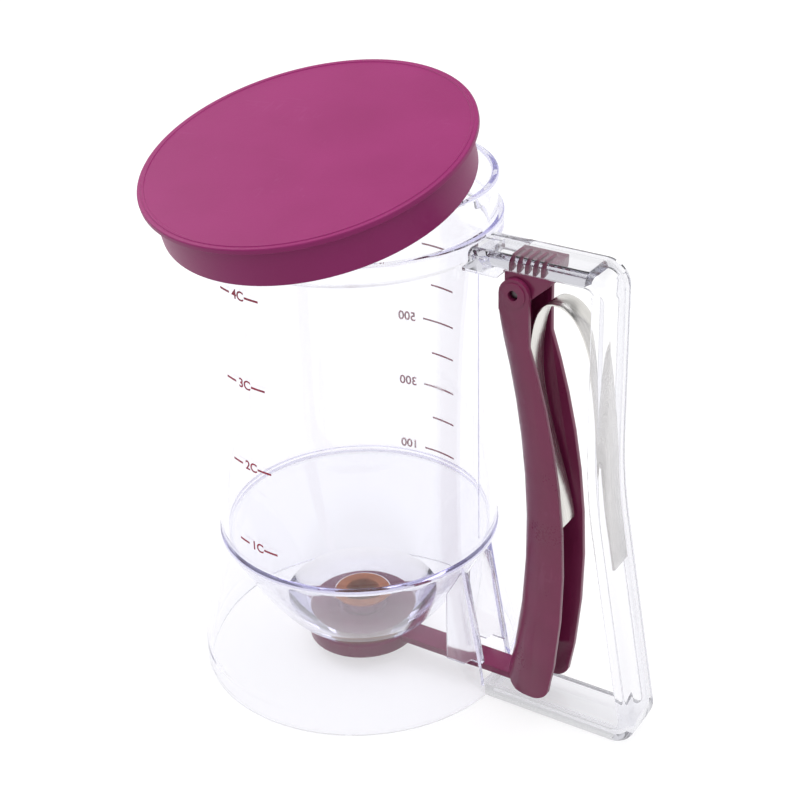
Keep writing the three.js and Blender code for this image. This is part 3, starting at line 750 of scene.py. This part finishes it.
finished(softened(bracketForm(), bracket["round"]), "hingeBracket", "jug", triggerPlastic,
         "hinge_block", angle=40)
pin = {"x": 69.1, "z": 162.9, "radius": 1.5, "half": 8, "round": 0.35, "sides": 40}
pinEdge = pin["radius"] - pin["round"]
pinForm = turned([
    (onAxis, -pin["half"]),
    *arc(pinEdge, pin["round"] - pin["half"], pin["round"], pin["round"], -90, steps=4),
    *arc(pinEdge, pin["half"] - pin["round"], pin["round"], pin["round"], 0, steps=4),
    (onAxis, pin["half"]),
], pin["sides"])
pinPlace = Matrix.Translation((pin["x"], 0, pin["z"])) @ Matrix.Rotation(math.radians(90), 4, "X")
finished(pinForm, "pivotPin", "jug", pinSteelPaintedShade, "hinge_pin", place=pinPlace)
print("trigger made")

# Leaf spring: one strip from the trigger's back over an arch and down the grip
spring = {
    "half": 5, "thick": 0.3, "round": 0.12, "tip": (86, 78), "tipPull": (83.5, 95),
    "kneePull": (72.9, 117), "knee": (72.9, 136), "kneeRise": (72.9, 148),
    "archPull": (74.5, 160.6), "arch": (82, 160.6), "archReach": (96, 160.6),
    "outerPull": (98.4, 128), "outerTop": 108, "outerFoot": 68, "depth": 3,
    "curveSteps": 25, "outerSteps": 12, "bendFrom": 97, "bendTo": 84, "bendHeight": 140,
}


def gripInside(height):
    turn = math.radians(grip["bendAngle"])
    centre = grip["reach"] + grip["bendRadius"]
    radius = grip["bendRadius"] + spring["depth"]
    drop = grip["bendStart"] - height
    lowest = radius * math.sin(turn)
    if drop < lowest:
        return Vector((centre - math.sqrt(radius ** 2 - drop ** 2), height))
    return Vector((centre - radius * math.cos(turn) + (drop - lowest) * math.tan(turn), height))


def springLine():
    outer = gripInside(spring["outerTop"])
    runs = [("tip", "tipPull", "kneePull", "knee"), ("knee", "kneeRise", "archPull", "arch")]
    curves = [[Vector(spring[name]) for name in run] for run in runs]
    curves.append([Vector(spring[name]) for name in ("arch", "archReach", "outerPull")] + [outer])
    points = []
    for knots in curves:
        points += interpolate_bezier(*knots, spring["curveSteps"])[:-1]
    points.append(outer)
    steps = spring["outerSteps"]
    points += [gripInside(mix(spring["outerTop"], spring["outerFoot"], i / steps))
               for i in range(1, steps + 1)]
    return points


def springSections():
    points = springLine()
    half, thick = spring["half"], spring["thick"]
    corners = ((-thick, -half), (thick, -half), (thick, half), (-thick, half))
    sections = []
    for i, point in enumerate(points):
        along = (points[min(len(points) - 1, i + 1)] - points[max(0, i - 1)]).normalized()
        sections.append([(point.x + along.y * offset, across, point.y - along.x * offset)
                         for offset, across in corners])
    return sections


springForm = softened(swept(springSections()), spring["round"])
returnSpring = finished(springForm, "returnSpring", None, springSteel, "leaf_spring")
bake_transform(returnSpring)
print("spring made")

# Lid, lying tilted on the rim
lid = {
    "radius": 57.4, "plate": 2, "skirtDepth": 14.4, "bore": 52.9, "skirtWall": 1.2,
    "edge": 0.6, "edgeSteps": 5, "innerEase": 1, "mouthEase": 0.3, "outerEase": 0.5, "plateEase": 0.2,
    "lineHeight": 0.25, "lineWidth": 1.2, "lineInset": 1.4, "sides": 180,
    "tilt": 16, "lean": -104.7, "shift": 16.48, "height": 200.68,
}


def lidProfile():
    inner, low, outer = lid["bore"], -lid["skirtDepth"], lid["bore"] + lid["skirtWall"]
    mouth, under = lid["mouthEase"], lid["plateEase"]
    radius, top, rounded = lid["radius"], lid["plate"], lid["edge"]
    lineOuter = radius - lid["lineInset"]
    lineInner = lineOuter - lid["lineWidth"]
    rise = lid["lineHeight"]
    return [
        (onAxis, 0), (inner - lid["innerEase"], 0), (inner, -lid["innerEase"]), (inner, mouth + low),
        (inner + mouth, low), (outer - mouth, low), (outer, mouth + low),
        (outer, -lid["outerEase"]), (outer + lid["outerEase"], 0), (radius - under, 0), (radius, under),
        *arc(radius - rounded, top - rounded, rounded, rounded, 0, steps=lid["edgeSteps"]),
        (lineOuter, top), (lineOuter - rise, top + rise), (lineInner + rise, top + rise),
        (lineInner, top), (onAxis, top),
    ]


lidPlace = (Matrix.Rotation(math.radians(lid["lean"]), 4, "Z")
            @ Matrix.Translation((lid["shift"], 0, lid["height"]))
            @ Matrix.Rotation(math.radians(lid["tilt"]), 4, "Y"))
finished(turned(lidProfile(), lid["sides"]), "looseLid", "lid", lidPlastic, "lid",
         place=lidPlace)
print("lid made")

# Printed marks
marks = {
    "radius": 50.96, "ink": 0.03, "stroke": 0.09, "textScale": 1.4, "dashCuts": 10,
    "cupHeights": {"4C": 161, "3C": 128.7, "2C": 97.4, "1C": 65.5}, "cupAzimuth": -99.7,
    "cupLean": -0.02, "cupText": 3.4, "dashes": ((-10.6, -4.8), (3.5, 10.2)), "dashWidth": 0.75,
    "longTicks": [145.2, 114.4, 86.4, 58.2], "shortTicks": [129.2, 100.8, 72.8],
    "tickFrom": 75, "longTo": 92, "shortTo": 87.5, "tickWidth": 0.7,
    "numerals": {"500": 114, "300": 86.4, "100": 58.5}, "numeralAzimuth": 100, "numeralText": 3.6,
}


def wrapped(bm, azimuth, height):
    for vert in bm.verts:
        angle = math.radians(azimuth) + vert.co.x / marks["radius"]
        radius = marks["radius"] + vert.co.z
        vert.co = (radius * math.cos(angle), radius * math.sin(angle), height + vert.co.y)


def lettering(words, size):
    curve = bpy.data.curves.new("words", "FONT")
    curve.body = words
    curve.size = size * marks["textScale"]
    curve.align_x = "CENTER"
    curve.align_y = "CENTER"
    curve.extrude = marks["ink"]
    curve.offset = marks["stroke"]
    worker = bpy.data.objects.new("words", curve)
    bpy.context.scene.collection.objects.link(worker)
    depsgraph = bpy.context.evaluated_depsgraph_get()
    mesh = bpy.data.meshes.new_from_object(worker.evaluated_get(depsgraph))
    bm = bmesh.new()
    bm.from_mesh(mesh)
    bpy.data.meshes.remove(mesh)
    bpy.data.curves.remove(curve)
    bmesh.ops.remove_doubles(bm, verts=bm.verts, dist=mesher["mergeGap"])
    return bm


def dash(length, width):
    bm = blockOf((-length / 2, -width / 2, -marks["ink"]), (length / 2, width / 2, marks["ink"]))
    lengthwise = [e for e in bm.edges if abs(e.verts[0].co.x - e.verts[1].co.x) > length / 2]
    bmesh.ops.subdivide_edges(bm, edges=lengthwise, cuts=marks["dashCuts"], use_grid_fill=True)
    return bm


def addForm(target, form):
    mesh = bpy.data.meshes.new("work")
    form.to_mesh(mesh)
    form.free()
    target.from_mesh(mesh)
    bpy.data.meshes.remove(mesh)


def cupMarks():
    whole = bmesh.new()
    for words, height in marks["cupHeights"].items():
        azimuth = marks["cupAzimuth"] + marks["cupLean"] * (height - marks["cupHeights"]["1C"])
        letters = lettering(words, marks["cupText"])
        wrapped(letters, azimuth, height)
        addForm(whole, letters)
        for low, high in marks["dashes"]:
            line = dash(math.radians(high - low) * marks["radius"], marks["dashWidth"])
            wrapped(line, azimuth + (low + high) / 2, height)
            addForm(whole, line)
    return whole


def litreMarks():
    whole = bmesh.new()
    for words, height in marks["numerals"].items():
        letters = lettering(words, marks["numeralText"])
        wrapped(letters, marks["numeralAzimuth"], height)
        addForm(whole, letters)
    ticks = [(height, marks["longTo"]) for height in marks["longTicks"]]
    ticks += [(height, marks["shortTo"]) for height in marks["shortTicks"]]
    for height, far in ticks:
        line = dash(math.radians(far - marks["tickFrom"]) * marks["radius"], marks["tickWidth"])
        wrapped(line, (far + marks["tickFrom"]) / 2, height)
        addForm(whole, line)
    return whole


finished(cupMarks(), "cupMarks", "jug", markInk, None)
finished(litreMarks(), "litreMarks", "jug", markInk, None)
print("marks made")

# Studio: white floor, a sky that darkens towards the horizon, soft lamps
studio = {
    "floorSize": 12, "floorTone": 0.45, "floorGlow": 0.6,
    "skyHigh": 1.0, "skyLow": 0.3, "skyTop": 0.7, "skyDip": 0.6, "skyThrough": 0.36,
    "dipStart": (0.4, 0.55), "dipEnd": (0.86, 0.96),
    "sidePower": 3, "sideSize": 0.7, "sidePlace": (-0.78, -0.02, 0.86), "sideAim": (0, 0, 0.15),
    "topPower": 6, "topSize": 1.0, "topPlace": (0.1, 0.1, 1.5), "topAim": (0, 0, 0.1),
    "bounces": {"max_bounces": 32, "glossy_bounces": 24, "transmission_bounces": 32,
                "transparent_max_bounces": 32},
}


def crispRays(tree, path):
    # rays that come by way of a mirror or through clear plastic
    return mathOf(tree, "MAXIMUM", path.outputs["Is Glossy Ray"], path.outputs["Is Transmission Ray"])


def studioFloor():
    bm = bmesh.new()
    bmesh.ops.create_grid(bm, x_segments=1, y_segments=1, size=studio["floorSize"])
    mesh = bpy.data.meshes.new("studioFloor")
    bm.to_mesh(mesh)
    bm.free()
    material, tree, shader = startMaterial("paleFloor")
    path = tree.nodes.new("ShaderNodeLightPath")
    seen = mathOf(tree, "MAXIMUM", crispRays(tree, path), path.outputs["Is Camera Ray"])
    shader.inputs["Base Color"].default_value = (studio["floorTone"],) * 3 + (1,)
    shader.inputs["Roughness"].default_value = 1.0
    shader.inputs["Specular IOR Level"].default_value = 0.0
    shader.inputs["Emission Color"].default_value = (1, 1, 1, 1)
    tree.links.new(mathOf(tree, "MULTIPLY", seen, studio["floorGlow"]), shader.inputs["Emission Strength"])
    mesh.materials.append(material)
    floor = bpy.data.objects.new("studioFloor", mesh)
    bpy.context.scene.collection.objects.link(floor)


def studioSky():
    world = bpy.data.worlds.new("studioSky")
    world.use_nodes = True
    tree = world.node_tree
    back = tree.nodes["Background"]
    direction = tree.nodes.new("ShaderNodeTexCoord")
    parts = tree.nodes.new("ShaderNodeSeparateXYZ")
    tree.links.new(direction.outputs["Generated"], parts.inputs["Vector"])
    height = parts.outputs["Z"]
    graded = rangeOf(tree, height, 0.0, studio["skyTop"], studio["skyLow"], studio["skyHigh"])
    # a darker band high in the sky, seen in mirrors and through the plastic only
    path = tree.nodes.new("ShaderNodeLightPath")
    band = mathOf(tree, "SUBTRACT", rangeOf(tree, height, *studio["dipStart"], 0, 1),
                  rangeOf(tree, height, *studio["dipEnd"], 0, 1))
    dip = mathOf(tree, "ADD", mathOf(tree, "MULTIPLY", path.outputs["Is Glossy Ray"], studio["skyDip"]),
                 mathOf(tree, "MULTIPLY", path.outputs["Is Transmission Ray"], studio["skyThrough"]))
    mirrored = mathOf(tree, "SUBTRACT", 1, mathOf(tree, "MULTIPLY", band, dip))
    seen = tree.nodes.new("ShaderNodeMix")
    tree.links.new(crispRays(tree, path), seen.inputs["Factor"])
    tree.links.new(graded, seen.inputs["A"])
    tree.links.new(mirrored, seen.inputs["B"])
    strength = mathOf(tree, "MAXIMUM", seen.outputs["Result"], path.outputs["Is Camera Ray"])
    back.inputs["Color"].default_value = (1, 1, 1, 1)
    tree.links.new(strength, back.inputs["Strength"])
    bpy.context.scene.world = world


def softLamp(name, place, aim, power, size):
    lamp = bpy.data.lights.new(name, "AREA")
    lamp.shape = "DISK"
    lamp.size = size
    lamp.energy = power
    holder = bpy.data.objects.new(name, lamp)
    bpy.context.scene.collection.objects.link(holder)
    holder.location = place
    holder.rotation_euler = (Vector(aim) - Vector(place)).to_track_quat("-Z", "Y").to_euler()


studioFloor()
studioSky()
softLamp("sideLamp", studio["sidePlace"], studio["sideAim"], studio["sidePower"], studio["sideSize"])
softLamp("topLamp", studio["topPlace"], studio["topAim"], studio["topPower"], studio["topSize"])

# Camera
camera = {
    "place": (301.7, -432.2, 383.0), "pitch": 24.73, "yaw": 29.87, "lens": 74.49, "sensor": 36,
    "shiftX": -0.1063, "shiftY": -0.1226,
}
lens = bpy.data.cameras.new("photoCamera")
lens.lens = camera["lens"]
lens.sensor_width = camera["sensor"]
lens.shift_x = camera["shiftX"]
lens.shift_y = camera["shiftY"]
holder = bpy.data.objects.new("photoCamera", lens)
holder.location = toRow @ Vector(camera["place"])
holder.rotation_euler = (math.radians(90 - camera["pitch"]), 0, math.radians(camera["yaw"]))
scene = bpy.context.scene
scene.collection.objects.link(holder)
scene.camera = holder
scene.view_settings.view_transform = "Standard"
for label, count in studio["bounces"].items():
    setattr(scene.cycles, label, count)
print("studio made")
